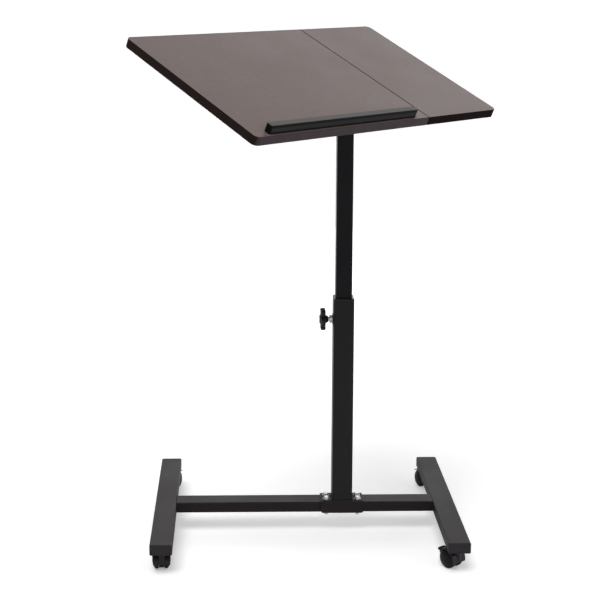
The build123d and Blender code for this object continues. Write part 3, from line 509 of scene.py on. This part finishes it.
def brake_ribs():
    """Three ribs across the tab of each brake lever, laid on the tab itself."""
    for caster in ("front_left", "front_right"):
        lever = f"{caster}_brake_lever"
        press = joints[f"{caster}_brake_press"]
        pivot, across = Vector(press["pos_m"]), level(Vector(press["axis"]))
        toward = level(box_middle(lever) - pivot)
        tree = surface_of(lever)
        ribs = []
        for reach in RIB_REACHES:
            rib = []
            for i in range(RIB_POINTS):
                share = i / (RIB_POINTS - 1) - 0.5
                over = pivot + toward * reach + across * (RIB_LENGTH * share) + UP * ABOVE_TAB
                rib.append(tree.ray_cast(over, -UP)[0])
            ribs.append(rib)
        name = f"{caster}_brake_ribs"
        bead_piece(name, ribs, press["child"], "brake_plastic", radius=RIB_WIRE, closed=False)


def rail_welds():
    """The welds under the rails, at both ends of the bracket's plate."""
    tilt = joints["top_tilt"]
    hub = Vector(tilt["pos_m"])
    lines = []
    for side in (-1, 1):
        for rail in (-1, 1):
            line = []
            for i in range(RAIL_WELD_POINTS):
                v = rail * RAIL_WELD_V + RAIL_WELD_LENGTH * (i / (RAIL_WELD_POINTS - 1) - 0.5)
                line.append(hub + TOP_U * (side * RAIL_WELD_U) + TOP_V * v + TOP_W * RAIL_WELD_W)
            lines.append(line)
    bead = {"radius": 0.0013, "ripple": 0.3, "step": 0.0022, "closed": False}
    bead_piece("weld_rails", lines, tilt["child"], "bracket_paint", **bead)


mast_welds()
cap_pads()
wheel_rings()
hood_seams()
brake_ribs()
rail_welds()


# ---- floor, light and camera ----

FLOOR_REACH = 60
FLOOR_COLOR = (0.9, 0.9, 0.9, 1)
FLOOR_GLOW = 0.33
ROOM_LEVEL = 0.27

CAMERA_PLACE = (-0.1415, -2.3762, 1.0468)
CAMERA_YAW, CAMERA_PITCH, CAMERA_ROLL = 0.371, 11.097, 0.234
CAMERA_SENSOR, CAMERA_LENS = 36, 82.345
CAMERA_SHIFT = (0.0908, -0.0992)
CAMERA_CLIP_END = 200


def stage_floor():
    """A plain white floor that keeps the object's shadow and looks white around it."""
    mesh = bpy.data.meshes.new("floor")
    corners = [(x * FLOOR_REACH, y * FLOOR_REACH, 0) for x, y in ((-1, -1), (1, -1), (1, 1), (-1, 1))]
    mesh.from_pydata(corners, [], [(0, 1, 2, 3)])
    floor = bpy.data.objects.new("floor", mesh)
    bpy.context.collection.objects.link(floor)
    material = bpy.data.materials.new("floor_white")
    material.use_nodes = True
    tree = material.node_tree
    tree.nodes.clear()
    out = tree.nodes.new("ShaderNodeOutputMaterial")
    diffuse = tree.nodes.new("ShaderNodeBsdfDiffuse")
    diffuse.inputs["Color"].default_value = FLOOR_COLOR
    glow = tree.nodes.new("ShaderNodeEmission")
    path = tree.nodes.new("ShaderNodeLightPath")
    seen = tree.nodes.new("ShaderNodeMath")
    seen.operation = "MULTIPLY"
    seen.inputs[1].default_value = FLOOR_GLOW
    both = tree.nodes.new("ShaderNodeAddShader")
    tree.links.new(path.outputs["Is Camera Ray"], seen.inputs[0])
    tree.links.new(seen.outputs[0], glow.inputs["Strength"])
    tree.links.new(diffuse.outputs[0], both.inputs[0])
    tree.links.new(glow.outputs[0], both.inputs[1])
    tree.links.new(both.outputs[0], out.inputs["Surface"])
    floor.data.materials.append(material)


def stage_world():
    """A soft white room: one level for what the object is lit by, white for what is seen."""
    world = bpy.data.worlds.new("room")
    bpy.context.scene.world = world
    world.use_nodes = True
    tree = world.node_tree
    tree.nodes.clear()
    out = tree.nodes.new("ShaderNodeOutputWorld")
    lit = tree.nodes.new("ShaderNodeBackground")
    lit.inputs["Color"].default_value = WHITE
    lit.inputs["Strength"].default_value = ROOM_LEVEL
    white = tree.nodes.new("ShaderNodeBackground")
    white.inputs["Color"].default_value = WHITE
    path = tree.nodes.new("ShaderNodeLightPath")
    mix = tree.nodes.new("ShaderNodeMixShader")
    tree.links.new(path.outputs["Is Camera Ray"], mix.inputs[0])
    tree.links.new(lit.outputs[0], mix.inputs[1])
    tree.links.new(white.outputs[0], mix.inputs[2])
    tree.links.new(mix.outputs[0], out.inputs["Surface"])


def sun(name, azimuth, elevation, strength, angle):
    """A wide soft lamp that shines from an azimuth round the object, 0 being the front, and a height."""
    lamp = bpy.data.lights.new(name, "SUN")
    lamp.energy = strength
    lamp.angle = math.radians(angle)
    obj = bpy.data.objects.new(name, lamp)
    bpy.context.collection.objects.link(obj)
    a, e = math.radians(azimuth), math.radians(elevation)
    toward = Vector((math.sin(a) * math.cos(e), -math.cos(a) * math.cos(e), math.sin(e)))
    obj.rotation_euler = toward.to_track_quat("Z", "Y").to_euler()


def softbox(name, middle, size, radiance):
    """A large upright soft lamp that faces the table's axis and isn't seen itself."""
    lamp = bpy.data.lights.new(name, "AREA")
    lamp.shape = "RECTANGLE"
    lamp.size, lamp.size_y = size
    lamp.energy = radiance * math.pi * size[0] * size[1]
    obj = bpy.data.objects.new(name, lamp)
    bpy.context.collection.objects.link(obj)
    obj.location = middle
    obj.rotation_euler = Vector((middle[0], middle[1], 0)).to_track_quat("Z", "Y").to_euler()
    obj.visible_camera = False


def stage_camera():
    """The photograph's camera: its place, direction and frame."""
    yaw, pitch, roll = (math.radians(angle) for angle in (CAMERA_YAW, CAMERA_PITCH, CAMERA_ROLL))
    forward = Vector((math.sin(yaw) * math.cos(pitch), math.cos(yaw) * math.cos(pitch), -math.sin(pitch)))
    right = Vector((math.cos(yaw), -math.sin(yaw), 0))
    down = forward.cross(right)
    turned_right = right * math.cos(roll) + down * math.sin(roll)
    turned_down = down * math.cos(roll) - right * math.sin(roll)
    data = bpy.data.cameras.new("camera")
    data.sensor_width = CAMERA_SENSOR
    data.lens = CAMERA_LENS
    data.shift_x, data.shift_y = CAMERA_SHIFT
    data.clip_end = CAMERA_CLIP_END
    camera = bpy.data.objects.new("camera", data)
    bpy.context.collection.objects.link(camera)
    turn = Matrix((turned_right, -turned_down, -forward)).transposed()
    camera.matrix_world = Matrix.Translation(CAMERA_PLACE) @ turn.to_4x4()
    bpy.context.scene.camera = camera


bpy.context.scene.view_settings.view_transform = "Standard"
stage_floor()
stage_world()
sun("key", azimuth=-22, elevation=64, strength=1.6, angle=32)
sun("side", azimuth=66, elevation=8, strength=0.9, angle=60)
softbox("back", middle=(0.4, 3.2, 1.7), size=(6, 3.4), radiance=1.2)
stage_camera()
